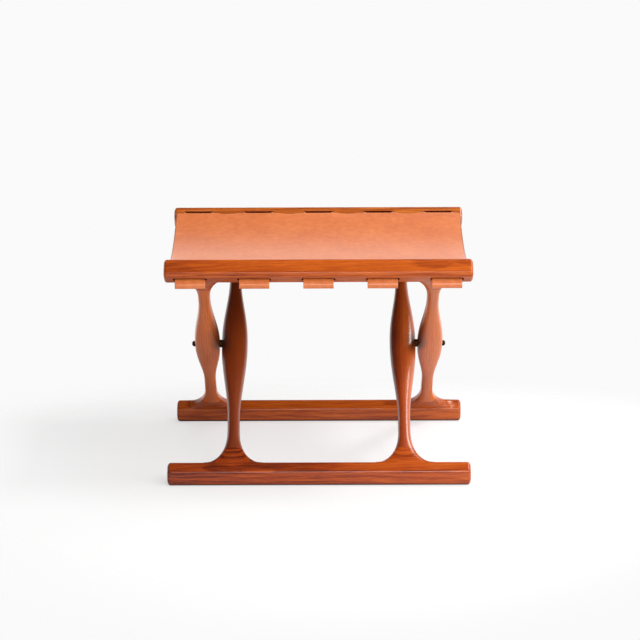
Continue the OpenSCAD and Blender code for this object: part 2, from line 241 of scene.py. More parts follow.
def press_flats(bm, flats):
    """Round flat seats in a leg's sides: (side x, way out, diameter)."""
    for side_x, way, diameter in flats:
        level = side_x - way * SEAT_CUT
        for v in bm.verts:
            if math.hypot(v.co.y, v.co.z) < diameter / 2 and (v.co.x - level) * way > 0:
                v.co.x = level


# Steps that every piece goes through

def new_verts(geometry):
    return [g for g in geometry if isinstance(g, bmesh.types.BMVert)]


def pull_face(bm, face, way):
    pulled = bmesh.ops.extrude_face_region(bm, geom=[face])["geom"]
    bmesh.ops.translate(bm, verts=new_verts(pulled), vec=way)


def crosswise_edges(bm):
    """The edges that lie across X."""
    return [e for e in bm.edges if abs(e.verts[0].co.x - e.verts[1].co.x) < 1]


def round_edges(bm, edges, offset, segments):
    bmesh.ops.bevel(bm, geom=edges, offset=offset, offset_type="OFFSET", segments=segments, profile=0.5,
                    affect="EDGES", material=-1)


def sharpen(bm, degrees):
    """Smooth faces, with the edges sharp that turn by more than degrees."""
    for f in bm.faces:
        f.smooth = True
    for e in bm.edges:
        if len(e.link_faces) == 2:
            e.smooth = e.calc_face_angle(0) < math.radians(degrees)


def finished(name, bm, place, degrees=40):
    """The bmesh as an object whose place is in its mesh."""
    bmesh.ops.transform(bm, matrix=place, verts=bm.verts)
    if place.determinant() < 0:
        bmesh.ops.reverse_faces(bm, faces=bm.faces)
    sharpen(bm, degrees)
    mesh = bpy.data.meshes.new(name)
    bm.to_mesh(mesh)
    bm.free()
    piece = bpy.data.objects.new(name, mesh)
    bpy.context.scene.collection.objects.link(piece)
    return piece


def apply_modifiers(piece):
    """Puts what the piece's modifiers make into its mesh."""
    bpy.context.view_layer.update()
    shown = piece.evaluated_get(bpy.context.evaluated_depsgraph_get())
    mesh = bpy.data.meshes.new_from_object(shown)
    piece.modifiers.clear()
    piece.data = mesh


def keep_flats_flat(piece):
    weighted = piece.modifiers.new("flats", "WEIGHTED_NORMAL")
    weighted.weight = 80
    weighted.keep_sharp = True
    return piece


# Legs

def leg(name, side, leg_x, place, flats):
    def reach_at(share):
        z = lerp(-FOOT_JOINT, SEAT_JOINT, share)
        return z, z

    bm = unit_tube(OVAL_SIDES, LEG_RINGS)
    carve_oval(bm, reach_at, leg_x)
    press_flats(bm, flats)
    if side < 0:
        bmesh.ops.scale(bm, verts=bm.verts, vec=(-1, 1, 1))
        bmesh.ops.reverse_faces(bm, faces=bm.faces)
    return finished(name, bm, place)


# Rails

def seat_corners():
    """Section of a seat rail: y, z and rounding of each corner."""
    return [
        (-SEAT_HALF, UNDERSIDE, 4.5),
        (SEAT_HALF, UNDERSIDE, 4.5),
        (SEAT_HALF, SEAT_REACH, 4.5),
        (-SEAT_HALF + SEAT_RAIL_FACET * SIN, SEAT_REACH, 2.5),
        (-SEAT_HALF, SEAT_REACH - SEAT_RAIL_FACET * COS, 4),
    ]


def foot_corners():
    """Section of the back foot rail on the floor, in the stool's own directions."""
    ridge_y = FOOT_REACH * SIN + FOOT_RAIL_SHOULDER / 2 * COS
    outer_y = ridge_y + FOOT_RAIL_SLOPE * SIN
    inner_y = ridge_y - FOOT_RAIL_SHOULDER * COS
    return [
        (inner_y, 0, 6),
        (outer_y, 0, 6),
        (outer_y, FOOT_RAIL_HEIGHT - FOOT_RAIL_SLOPE * COS, 5),
        (ridge_y, FOOT_RAIL_HEIGHT, 4),
        (inner_y, FOOT_RAIL_HEIGHT - FOOT_RAIL_SHOULDER * SIN, 3),
    ]


def rail_bar(corners):
    """A bar of that section along X, its ends rounded first and then its long edges."""
    bm = bmesh.new()
    end = bm.faces.new([bm.verts.new((-RAIL_LENGTH / 2, y, z)) for y, z, _ in corners])
    pull_face(bm, end, (RAIL_LENGTH, 0, 0))
    bmesh.ops.recalc_face_normals(bm, faces=bm.faces)
    round_edges(bm, crosswise_edges(bm), END_RADIUS, ROUND_STEPS)
    corner_reach = END_RADIUS * 1.7
    for i, (y, z, radius) in enumerate(corners):
        here = Vector((y, z))
        before = (Vector(corners[i - 1][:2]) - here).normalized()
        after = (Vector(corners[(i + 1) % len(corners)][:2]) - here).normalized()
        half_angle = before.angle(after) / 2
        inward = (before + after).normalized()

        def on_corner(v):
            off = Vector((v.co.y, v.co.z)) - here
            return off.length < corner_reach and abs(off.x * inward.y - off.y * inward.x) < 0.01

        ridge = [e for e in bm.edges
                 if all(on_corner(v) for v in e.verts) and abs(e.verts[0].co.x - e.verts[1].co.x) > 0.001]
        round_edges(bm, ridge, radius / math.tan(half_angle), ROUND_STEPS)
    return bm


def add_stubs(bm, leg_x, joint, face, place):
    """The two flared stubs that the legs meet, rooted in the rail."""
    way = 1 if face > 0 else -1
    last_oval = face - way * STUB_EDGE

    def reach_at(share):
        if share >= 0.99:
            return face + way * STUB_ROOT, last_oval
        z = lerp(joint, last_oval, 1 - (1 - min(1, share * (STUB_RINGS + 1) / STUB_RINGS)) ** 2)
        return z, z

    for side in (-1, 1):
        stub = unit_tube(OVAL_SIDES, STUB_RINGS)
        carve_oval(stub, reach_at, side * leg_x)
        if way < 0:
            bmesh.ops.reverse_faces(stub, faces=stub.faces)
        bmesh.ops.transform(stub, matrix=place, verts=stub.verts)
        mesh = bpy.data.meshes.new("stub")
        stub.to_mesh(mesh)
        stub.free()
        bm.from_mesh(mesh)
        bpy.data.meshes.remove(mesh)


def slot_cutter():
    """Five round-ended bars that cut the slots."""
    past_face = 4
    bm = bmesh.new()
    low = SLOT_HEIGHT / 2 - LEATHER_FIT
    end_reach = math.sqrt((SLOT_HEIGHT / 2) ** 2 - low * low)
    straight = TAB_WIDTH + 2 * LEATHER_FIT - 2 * end_reach
    rise = SLOT_HEIGHT / 2 - LEATHER / 2 - LEATHER_FIT
    for x in TAB_PLACES:
        ring = bmesh.ops.create_circle(bm, cap_ends=True, segments=SLOT_SIDES, radius=SLOT_HEIGHT / 2)
        ring = ring["verts"]
        for v in ring:
            away = straight / 2 if v.co.x > 0 else -straight / 2
            v.co = (x + v.co.x + away, -SEAT_HALF - past_face, SLOT_REACH + rise + v.co.y)
        outline = next(f for f in bm.faces if set(f.verts) == set(ring))
        pull_face(bm, outline, (0, 2 * SEAT_HALF + 2 * past_face, 0))
    bmesh.ops.recalc_face_normals(bm, faces=bm.faces)
    return finished("slot_cutter", bm, Matrix.Identity(4))


def cut_slots(bm):
    """Cuts the slots through the bar, rounds their rims and gives their insides the second material, a dark
    wood that paints the shade in them.
    """
    bar = finished("bar", bm, Matrix.Identity(4))
    cutter = slot_cutter()
    cut = bar.modifiers.new("slots", "BOOLEAN")
    cut.operation = "DIFFERENCE"
    cut.solver = "EXACT"
    cut.object = cutter
    apply_modifiers(bar)
    bm = bmesh.new()
    bm.from_mesh(bar.data)
    for used in (bar, cutter):
        mesh = used.data
        bpy.data.objects.remove(used)
        bpy.data.meshes.remove(mesh)
    bmesh.ops.remove_doubles(bm, verts=bm.verts, dist=0.001)

    def at_slot(z):
        return abs(z - SLOT_REACH) < SLOT_HEIGHT

    def is_rim(e):
        on_face = all(abs(abs(v.co.y) - SEAT_HALF) < 0.01 for v in e.verts)
        in_slot = all(at_slot(v.co.z) for v in e.verts)
        return on_face and in_slot and len(e.link_faces) == 2 and e.calc_face_angle(0) > 1

    round_edges(bm, [e for e in bm.edges if is_rim(e)], SLOT_RIM, SMALL_ROUND_STEPS)
    inside_rims = SEAT_HALF - SLOT_RIM - 0.05
    # The slots' insides take the dark second material: painted shade
    for f in bm.faces:
        middle = f.calc_center_median()
        at_tab = tab_offset(middle.x) < TAB_WIDTH / 2 + 3
        if at_tab and at_slot(middle.z) and abs(middle.y) < inside_rims:
            f.material_index = 1
    return bm


def seat_rail(name, leg_x, place):
    bm = cut_slots(rail_bar(seat_corners()))
    add_stubs(bm, leg_x, SEAT_JOINT, UNDERSIDE, Matrix.Identity(4))
    return keep_flats_flat(finished(name, bm, place))


def foot_rail(name, leg_x, place):
    """The foot rail stands on the floor, so its stubs lean and it doesn't."""
    bm = rail_bar(foot_corners())
    lean = Matrix.Translation((0, 0, PIVOT_Z)) @ Matrix.Rotation(LEAN, 4, "X")
    add_stubs(bm, leg_x, -FOOT_JOINT, -FOOT_REACH, lean)
    return keep_flats_flat(finished(name, bm, place))


# Pivot bolts and spacers, drawn along X on the right-hand side

def spun(outline, way):
    """A profile of (distance from the axis, x) turned about X."""
    bm = bmesh.new()
    points = [bm.verts.new((x, r, 0)) for r, x in outline]
    edges = [bm.edges.new(pair) for pair in zip(points, points[1:])]
    bmesh.ops.spin(bm, geom=points + edges, cent=(0, 0, 0), axis=(1, 0, 0), dvec=(0, 0, 0),
                   angle=2 * math.pi, steps=TURNED_STEPS, use_merge=True)
    bmesh.ops.remove_doubles(bm, verts=bm.verts, dist=0.001)
    bmesh.ops.scale(bm, verts=bm.verts, vec=(way, 1, 1))
    bmesh.ops.recalc_face_normals(bm, faces=bm.faces)
    return bm


def pivot_bolt(name, way):
    seat_x = OUTER_SIDE_X - SEAT_CUT
    tip_x = INNER_SIDE_X - SEAT_CUT - BOLT_REACH
    shank = SHANK / 2
    radius = HEAD / 2
    dome = HEAD_HEIGHT - HEAD_SIDE
    curve = (radius * radius + dome * dome) / (2 * dome)
    sweep = math.asin(radius / curve)
    outline = [
        (0, tip_x),
        (shank - SHANK_EDGE, tip_x),
        (shank, tip_x + SHANK_EDGE),
        (shank, seat_x),
        (radius - HEAD_EDGE, seat_x),
        (radius, seat_x + HEAD_EDGE),
        (radius, seat_x + HEAD_SIDE),
    ]
    for k in range(1, DOME_STEPS + 1):
        a = sweep * (1 - k / DOME_STEPS * (1 - SOCKET_SPREAD))
        outline.append((curve * math.sin(a), seat_x + HEAD_SIDE + curve * math.cos(a) - (curve - dome)))
    rim_x = outline[-1][1]
    outline += [
        (SOCKET_RADIUS + 0.15, rim_x + 0.12),
        (SOCKET_RADIUS, rim_x),
        (SOCKET_RADIUS, rim_x - SOCKET_DEPTH),
        (0, rim_x - SOCKET_DEPTH - 0.3),
    ]
    return finished(name, spun(outline, way), AT_PIVOT)


def spacer(name, way):
    inside = INNER_SIDE_X - SEAT_CUT
    outside = inside + LEG_GAP + 2 * SEAT_CUT - SPACER_PLAY
    bore = SHANK / 2 + BORE_PLAY
    radius = SPACER / 2
    outline = [
        (bore, inside),
        (radius - SPACER_EDGE, inside),
        (radius, inside + SPACER_EDGE),
        (radius, outside - SPACER_EDGE),
        (radius - SPACER_EDGE, outside),
        (bore, outside),
        (bore, inside),
    ]
    return finished(name, spun(outline, way), AT_PIVOT)


# Leather: a path across the stool's middle plane, walked by its length. It hangs from its lips, bends over
# them, runs through the slots and rolls up round the pegs.

SLOT_Y = SLOT_REACH * SIN - SEAT_HALF * COS
SLOT_Z = PIVOT_Z + SLOT_REACH * COS + SEAT_HALF * SIN
SEAT_PITCH = math.atan(2 * SEAT_SAG / SLOT_Y)
LIP_Y = SLOT_Y + LIP_MOUTH * COS - LIP_BEND * SIN
LIP_Z = SLOT_Z - LIP_MOUTH * SIN - LIP_BEND * COS
HANG_Y = LIP_Y - LIP_BEND * math.sin(SEAT_PITCH)
HANG_Z = LIP_Z + LIP_BEND * math.cos(SEAT_PITCH)
MIDDLE_Z = HANG_Z - HANG_Y * math.tan(SEAT_PITCH) / 2
ROLL_RADIUS = PEG / 2 + LEATHER_FIT + LEATHER / 2
ROLL_REACH = SEAT_RAIL_THICKNESS + LEATHER_FIT + PEG / 2 + LEATHER_FIT + LEATHER
ROLL_Y = SLOT_Y + ROLL_REACH * COS - ROLL_RADIUS * SIN
ROLL_Z = SLOT_Z - ROLL_REACH * SIN - ROLL_RADIUS * COS
HANG = [(HANG_Y * k / HANG_STEPS, MIDDLE_Z + math.tan(SEAT_PITCH) * HANG_Y * (k / HANG_STEPS) ** 2 / 2)
        for k in range(HANG_STEPS + 1)]
HANG_LENGTHS = [0]
for (y0, z0), (y1, z1) in zip(HANG, HANG[1:]):
    HANG_LENGTHS.append(HANG_LENGTHS[-1] + math.hypot(y1 - y0, z1 - z0))
HANG_END = HANG_LENGTHS[-1]
LIP_END = HANG_END + LIP_BEND * (SEAT_PITCH + LEAN)
SLOT_END = LIP_END + ROLL_REACH - LIP_MOUTH
ROLL_END = SLOT_END + ROLL_RADIUS * WRAP_TURN
HALF_PANEL = RAIL_LENGTH / 2 - LEATHER_INSET
HALF_TAB = TAB_WIDTH / 2
TOUCH = 0.01


def leather_path(s):
    """y, z and heading of the leather's mid-thickness at the length s from the seat's middle."""
    if s <= HANG_END:
        k = min(HANG_STEPS - 1, int(s / HANG_END * HANG_STEPS))
        while HANG_LENGTHS[k + 1] < s:
            k += 1
        while HANG_LENGTHS[k] > s:
            k -= 1
        share = (s - HANG_LENGTHS[k]) / (HANG_LENGTHS[k + 1] - HANG_LENGTHS[k])
        y = lerp(HANG[k][0], HANG[k + 1][0], share)
        z = lerp(HANG[k][1], HANG[k + 1][1], share)
        return y, z, math.atan(math.tan(SEAT_PITCH) * y / HANG_Y)
    if s <= LIP_END:
        h = SEAT_PITCH - (s - HANG_END) / LIP_BEND
        return LIP_Y - LIP_BEND * math.sin(h), LIP_Z + LIP_BEND * math.cos(h), h
    if s <= SLOT_END:
        along = s - LIP_END + LIP_MOUTH
        return SLOT_Y + along * COS, SLOT_Z - along * SIN, -LEAN
    h = -LEAN - (s - SLOT_END) / ROLL_RADIUS
    return ROLL_Y - ROLL_RADIUS * math.sin(h), ROLL_Z + ROLL_RADIUS * math.cos(h), h


def across_columns():
    """Places across the leather, with a column at each side of every tab."""
    stops = [-HALF_PANEL]
    for x in TAB_PLACES:
        stops += [x - HALF_TAB, x + HALF_TAB]
    stops.append(HALF_PANEL)
    places = [stops[0]]
    for a, b in zip(stops, stops[1:]):
        count = 6 if b - a < 30 else 16
        for k in range(1, count + 1):
            share = k / count
            eased = (1 - math.cos(math.pi * share)) / 2
            places.append(lerp(a, b, lerp(share, eased, 0.6)))
    return places


def tab_offset(x):
    """How far x lies from the middle of the nearest tab."""
    return min(abs(x - place) for place in TAB_PLACES)


def panel_end(x):
    """Length from the seat's middle to the panel's edge at x: tabs reach the slot, scallops fall short."""
    off = tab_offset(x)
    if off <= HALF_TAB + TOUCH:
        return LIP_END
    share = (off - HALF_TAB) / (TAB_PITCH - TAB_WIDTH)
    return LIP_END - SCALLOP * 4 * share * (1 - share)


def leather_point(x, s):
    """A point of the leather's mid-thickness; s is negative on the front half.

    A tab's corners curl up a little where it enters its slot, and the free sides bow out at the middle."""
    way = -1 if s < 0 else 1
    y, z, heading = leather_path(abs(s))
    off = tab_offset(x)
    curl = max(0, (off - HALF_TAB + CURL_WIDTH) / CURL_WIDTH) if off <= HALF_TAB + TOUCH else 0
    closeness = max(0, 1 - abs(abs(s) - LIP_END) / CURL_REACH)
    near_slot = closeness ** 2 * (3 - 2 * closeness)
    lift = CURL_HEIGHT * curl ** 2 * near_slot
    bow = SIDE_BOW * x / (RAIL_LENGTH / 2) * max(0, 1 - (y / HANG_Y) ** 2) if y < HANG_Y else 0
    y -= lift * math.sin(heading)
    z += lift * math.cos(heading)
    return Vector((x + bow, way * y, z))


def leather_sheet(name):
    """The panel as a bent grid, its tabs drawn out from the grid's ends, then given its thickness."""
    columns = across_columns()
    bm = bmesh.new()
    bmesh.ops.create_grid(bm, x_segments=len(columns) - 1, y_segments=2 * PANEL_ROWS, size=1)
    panel = {}
    for v in bm.verts:
        column = round((v.co.x + 1) / 2 * (len(columns) - 1))
        panel[v] = (columns[column], v.co.y)
    for v, (x, share) in panel.items():
        eased = math.copysign(1 - (1 - abs(share)) ** PANEL_ROW_EASE, share)
        v.co = leather_point(x, panel_end(x) * eased)

    def at_tab(e, way):
        if not all(v in panel and abs(panel[v][1] - way) < 1e-6 for v in e.verts):
            return False
        middle_x = (panel[e.verts[0]][0] + panel[e.verts[1]][0]) / 2
        return tab_offset(middle_x) < HALF_TAB + TOUCH

    stops = [lerp(LIP_END, SLOT_END, k / TAB_ROWS) for k in range(1, TAB_ROWS + 1)]
    stops += [lerp(SLOT_END, ROLL_END, k / ROLL_ROWS) for k in range(1, ROLL_ROWS + 1)]
    for way in (-1, 1):
        rim = [e for e in bm.edges if at_tab(e, way)]
        for s in stops:
            pulled = bmesh.ops.extrude_edge_only(bm, edges=rim)["geom"]
            rim = [g for g in pulled if isinstance(g, bmesh.types.BMEdge)]
            for v in new_verts(pulled):
                v.co = leather_point(v.co.x, way * s)
    bmesh.ops.recalc_face_normals(bm, faces=bm.faces)
    if sum(f.normal.z for f in bm.faces if abs(f.calc_center_median().y) < 100) < 0:
        bmesh.ops.reverse_faces(bm, faces=bm.faces)
    piece = finished(name, bm, TO_METRES, 180)
    thick = piece.modifiers.new("thickness", "SOLIDIFY")
    thick.thickness = LEATHER * MM
    thick.offset = 0
    thick.use_even_offset = True
    thick.use_quality_normals = True
    thick.material_offset_rim = 1
    thick.material_offset = 2
    edge = piece.modifiers.new("edge", "BEVEL")
    edge.width = LEATHER_EDGE * MM
    edge.segments = 2
    edge.limit_method = "ANGLE"
    edge.angle_limit = math.radians(60)
    return piece


def sheet_area():
    """Flat area of the cut leather in square metres."""
    columns = across_columns()
    area = 0
    for a, b in zip(columns, columns[1:]):
        middle = (a + b) / 2
        reach = ROLL_END if tab_offset(middle) < HALF_TAB else panel_end(middle)
        area += 2 * reach * (b - a)
    return area * MM * MM


def loop_pegs(name, way):
    """The pegs that the tabs of one rail are wrapped round."""
    bm = bmesh.new()
    for x in TAB_PLACES:
        ring = bmesh.ops.create_cone(bm, cap_ends=True, segments=PEG_SIDES, radius1=PEG / 2, radius2=PEG / 2,
                                     depth=TAB_WIDTH)["verts"]
        bmesh.ops.rotate(bm, verts=ring, cent=(0, 0, 0), matrix=Matrix.Rotation(math.pi / 2, 3, "Y"))
        bmesh.ops.translate(bm, verts=ring, vec=(x, way * ROLL_Y, ROLL_Z))
    round_edges(bm, crosswise_edges(bm), PEG_EDGE, SMALL_ROUND_STEPS)
    return finished(name, bm, TO_METRES)


# Materials

class Wire:
    """A socket in a material, on which sums are written as plain expressions."""

    def __init__(self, plan, socket):
        self.plan = plan
        self.socket = socket

    def maths(self, operation, *terms):
        return self.plan.node("ShaderNodeMath", {"operation": operation}, dict(enumerate(terms)))

    def __add__(self, other):
        return self.maths("ADD", self, other)

    __radd__ = __add__

    def __sub__(self, other):
        return self.maths("SUBTRACT", self, other)

    def __rsub__(self, other):
        return self.maths("SUBTRACT", other, self)

    def __mul__(self, other):
        return self.maths("MULTIPLY", self, other)

    __rmul__ = __mul__

    def __abs__(self):
        return self.maths("ABSOLUTE", self)

    def fraction(self):
        return self.maths("FRACT", self)

    def root(self):
        return self.maths("SQRT", self)

    def larger(self, other):
        return self.maths("MAXIMUM", self, other)

    def smaller(self, other):
        return self.maths("MINIMUM", self, other)

    def step(self, low, high):
        """0 below low, 1 above high and smooth between."""
        return self.plan.node("ShaderNodeMapRange", {"interpolation_type": "SMOOTHSTEP"},
                              {"Value": self, "From Min": low, "From Max": high})


class Finish:
    """A material or world under construction."""

    def __init__(self, name, owner=None):
        self.material = owner or bpy.data.materials.new(name)
        self.material.use_nodes = True
        self.tree = self.material.node_tree
        self.tree.nodes.clear()

    def node(self, kind, settings=None, values=None, output=0):
        made = self.tree.nodes.new(kind)
        for name, value in (settings or {}).items():
            if name == "stops":
                ramp = made.color_ramp
                while len(ramp.elements) < len(value):
                    ramp.elements.new(0.5)
                for element, (place, colour) in zip(ramp.elements, value):
                    element.position = place
                    element.color = (*colour, 1)
            else:
                setattr(made, name, value)
        for name, value in (values or {}).items():
            socket = made.inputs[name]
            if isinstance(value, Wire):
                self.tree.links.new(value.socket, socket)
            elif isinstance(value, tuple) and len(value) == 3 and socket.type == "RGBA":
                socket.default_value = (*value, 1)
            else:
                socket.default_value = value
        if not made.outputs:
            return None
        return Wire(self, made.outputs[output])

    def coordinates(self):
        return self.node("ShaderNodeTexCoord", output="Object")

    def mapped(self, vector, location=(0, 0, 0), rotation=(0, 0, 0), scale=(1, 1, 1)):
        return self.node("ShaderNodeMapping", values={
            "Vector": vector, "Location": location, "Rotation": rotation, "Scale": scale})

    def noise(self, vector, scale, detail, roughness, distortion=0.0):
        return self.node("ShaderNodeTexNoise", values={
            "Vector": vector, "Scale": scale, "Detail": detail, "Roughness": roughness,
            "Distortion": distortion})

    def drawn_out(self, vector, along, across, detail, roughness):
        """Noise that is finer across X than along it."""
        return self.noise(self.mapped(vector, scale=(along, across, across)), 1.0, detail, roughness)

    def part(self, vector, axis):
        return self.node("ShaderNodeSeparateXYZ", values={"Vector": vector}, output=axis)

    def light_path(self, kind):
        return self.node("ShaderNodeLightPath", output=kind)

    def ramp(self, factor, stops):
        return self.node("ShaderNodeValToRGB", {"stops": stops}, {"Fac": factor})

    def mix(self, factor, first, second, blend="MIX"):
        return self.node("ShaderNodeMix", {"data_type": "RGBA", "blend_type": blend},
                         {0: factor, 6: first, 7: second}, output=2)

    def bump(self, height, strength, distance):
        return self.node("ShaderNodeBump", values={
            "Height": height, "Strength": strength, "Distance": distance})

    def surface(self, **values):
        sockets = {name.replace("_", " "): value for name, value in values.items()}
        shader = self.node("ShaderNodeBsdfPrincipled", values=sockets)
        self.node("ShaderNodeOutputMaterial", values={"Surface": shader})
        return self.material


def srgb(red, green, blue):
    def linear(c):
        c /= 255
        return c / 12.92 if c <= 0.04045 else ((c + 0.055) / 1.055) ** 2.4
    return linear(red), linear(green), linear(blue)


# Each part was cut from its own board, and they have darkened unevenly. The legs' tints also hold painted
# light: the outer legs are paler for a painted sheen off the floor, and the inner legs darker for painted
# shade under the seat.
SHEEN_PAINTED_TINT = (0.93, 0.90, 0.78)
SEAT_TINT = (0.82, 0.70, 0.42)
BACK_TINT = (0.76, 0.84, 0.90)
REAR_FOOT_TINT = (0.68, 0.58, 0.38)
FOOT_TINT = (0.68, 0.50, 0.36)
SHADE_PAINTED_TINT = (0.60, 0.42, 0.27)
SHADY_TINT = (0.33, 0.22, 0.12)
SLOT_SHADE_TINT = (0.20, 0.14, 0.10)

RINGS_A_METRE = 260


def beside_spacer(f, own, rise_share):
    """1 on the wood against a spacer and 0 beyond the painted shade; drawn out upward when rise_share is
    under 1.
    """
    x = abs(f.part(own, "X")) - (INNER_SIDE_X + LEG_GAP / 2) * MM
    z = f.part(own, "Z") - (PIVOT_Z + SPACER_SHADE_ABOVE_PIVOT) * MM
    z = z.smaller(0) + z.larger(0) * rise_share
    return 1 - (x * x + z * z).root().step(SPACER_SHADE_FULL * MM, SPACER_SHADE_END * MM)


def oiled_wood(name, turn, shift, heart, tint, rings=1.0, darker_left=0.0, even_x=0.1, painted_light_above=0.0,
               gloss=0.18, shine=0.5, soiled=0.0, rise_share=0.0):
    """Red-brown wood, its grain along X after turn.

    heart is the log's middle as (y, z), shift moves the grain through the piece, and tint is its depth of
    colour. rings is the strength of the year rings and streaks. darker_left darkens the wood toward -X
    by that much a metre with painted shade, for light from the right, and it is even at even_x;
    painted_light_above lightens it above the pivot from there on with painted light.
    gloss is its least roughness and shine its specular level. soiled darkens the edge on the floor,
    and rise_share sets painted shade on the wood round a spacer."""
    f = Finish(name)
    own = f.coordinates()
    place = f.mapped(own, location=shift, rotation=turn)
    wave = f.drawn_out(place, 6, 14, 2, 0.5) - 0.5
    wander = f.drawn_out(place, 18, 90, 3, 0.55) - 0.5
    y = f.part(place, "Y") - heart[0]
    z = f.part(place, "Z") - heart[1]
    radius = (y * y + z * z).root() + wave * 0.007 + wander * 0.0012
    ring = (radius * RINGS_A_METRE).fraction()
    late = ring.step(0.2, 0.9) * (1 - ring.step(0.93, 1.0))
    streaks = f.drawn_out(place, 14, 380, 5, 0.68)
    fibres = f.drawn_out(place, 60, 1500, 3, 0.6)
    pores = f.drawn_out(place, 70, 2400, 2, 0.5).step(0.60, 0.72)
    cloud = f.drawn_out(place, 4, 22, 2, 0.5)
    depth = (late * 0.24 + streaks * 1.20 - 0.66) * rings + fibres * 0.50 + cloud * 0.5 - 0.07
    # Painted shade: the wood darkens toward -X, away from the light on the right
    if darker_left:
        depth = depth + (even_x - f.part(own, "X")) * darker_left
    # Painted light: the right side above the pivot is lightened as if lit from the right
    if painted_light_above:
        right_side = f.part(own, "X").step(even_x - 0.010, even_x + 0.004)
        above_pivot = f.part(own, "Z").step((PIVOT_Z - 4) * MM, (PIVOT_Z + 22) * MM)
        depth = depth - right_side * above_pivot * painted_light_above
    colour = f.ramp(depth, [
        (0.05, srgb(241, 135, 58)),
        (0.38, srgb(219, 110, 36)),
        (0.62, srgb(190, 86, 27)),
        (1.0, srgb(112, 41, 13)),
    ])
    colour = f.mix(1.0, f.mix(pores * 0.25, colour, srgb(90, 32, 10)), tint, "MULTIPLY")
    # Darker along the edge that stands on the floor
    if soiled:
        underfoot = 1 - f.part(own, "Z").step(0.001, 0.0065)
        colour = f.mix(underfoot * soiled, colour, srgb(48, 22, 10))
    # Painted shade round the spacers: their shadow and the next leg's dark reflection
    if rise_share:
        colour = f.mix(beside_spacer(f, own, rise_share) * 0.85, colour, srgb(50, 20, 8))
    height = fibres * 0.6 + (1 - pores) * 0.5
    return f.surface(
        Base_Color=colour,
        Roughness=gloss + streaks * 0.10 + pores * 0.08,
        Specular_IOR_Level=shine,
        Normal=f.bump(height, 0.07, 0.0002),
    )


def rail_wood(name, shift, heart, tint, **look):
    """Wood with its grain along a rail, a little off true."""
    return oiled_wood(name, (0, math.radians(1.2), math.radians(-0.8)), shift, heart, tint, **look)


def leg_wood(name, lean, shift, heart, tint, **look):
    """Wood with its grain along a leg: the leg's length is turned onto X."""
    upright = Matrix.Rotation(-lean, 3, "X")
    lying = Matrix.Rotation(math.pi / 2, 3, "Y")
    turn = tuple((lying @ upright).to_euler("XYZ"))
    return oiled_wood(name, turn, shift, heart, tint, rings=0.45, gloss=0.24, **look)


def tan_leather():
    f = Finish("tan_leather")
    place = f.coordinates()
    cloud = f.noise(place, 9, 4, 0.55)
    mottle = f.noise(place, 105, 3, 0.6)
    grain = f.node("ShaderNodeTexVoronoi", {"feature": "DISTANCE_TO_EDGE"}, {"Vector": place, "Scale": 900.0})
    creases = f.noise(place, 380, 4, 0.65, 0.6)
    stain = f.noise(place, 28, 3, 0.6)
    colour = f.ramp(cloud * 0.3 + mottle * 0.5 + stain * 0.2, [
        (0.32, srgb(211, 103, 42)),
        (0.50, srgb(227, 120, 55)),
        (0.68, srgb(240, 138, 74)),
    ])
    pebble = grain.step(0.0, 0.12)
    colour = f.mix((1 - pebble) * 0.14, colour, srgb(186, 84, 34))
    half_width = HALF_PANEL * MM
    burnish = abs(f.part(place, "X")).step(half_width - 0.0016, half_width - 0.0002)
    return f.surface(
        Base_Color=f.mix(burnish * 0.75, colour, srgb(128, 70, 40)),
        Roughness=0.33 + mottle * 0.10,
        Specular_IOR_Level=0.95,
        Normal=f.bump(pebble * 0.5 + creases * 0.5, 0.05, 0.0003),
    )


def cut_leather_edge():
    f = Finish("cut_leather_edge")
    place = f.coordinates()
    fibre = f.noise(place, 1400, 3, 0.6)
    colour = f.ramp(fibre, [(0.3, srgb(140, 88, 60)), (0.7, srgb(196, 140, 104))])
    return f.surface(Base_Color=colour, Roughness=0.7 + fibre * 0.1, Normal=f.bump(fibre, 0.3, 0.0002))


def leather_flesh_side():
    f = Finish("leather_flesh_side")
    place = f.coordinates()
    nap = f.noise(place, 700, 4, 0.65)
    cloud = f.noise(place, 24, 3, 0.5)
    colour = f.ramp(nap * 0.5 + cloud * 0.5, [(0.3, srgb(132, 84, 52)), (0.7, srgb(164, 112, 74))])
    return f.surface(Base_Color=colour, Roughness=0.85 + nap * 0.1, Normal=f.bump(nap, 0.4, 0.0004))


def aged_brass():
    f = Finish("aged_brass")
    place = f.coordinates()
    patina = f.noise(place, 420, 4, 0.6)
    scratch = f.drawn_out(place, 200, 2600, 2, 0.5)
    colour = f.ramp(patina, [(0.3, srgb(34, 22, 14)), (0.55, srgb(58, 38, 22)), (0.8, srgb(112, 78, 44))])
    return f.surface(
        Base_Color=colour,
        Metallic=1.0,
        Roughness=0.32 + patina * 0.2,
        Normal=f.bump(scratch, 0.1, 0.0001),
    )


# The pieces, their finishes and what they ride on

def dress(piece, body, slot, nodes, *materials):
    """Gives a piece its materials, hides the nodes it stands for, and hangs it on the body it rides on, if
    any.
    """
    for material in materials:
        piece.data.materials.append(material)
    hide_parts(*nodes)
    if body:
        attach(piece, body)


OUTER_FLATS = [(OUTER_INSIDE_X, -1, SPACER + FLAT_MARGIN), (OUTER_SIDE_X, 1, HEAD + FLAT_MARGIN)]
INNER_FLATS = [(INNER_SIDE_X, 1, SPACER + FLAT_MARGIN)]

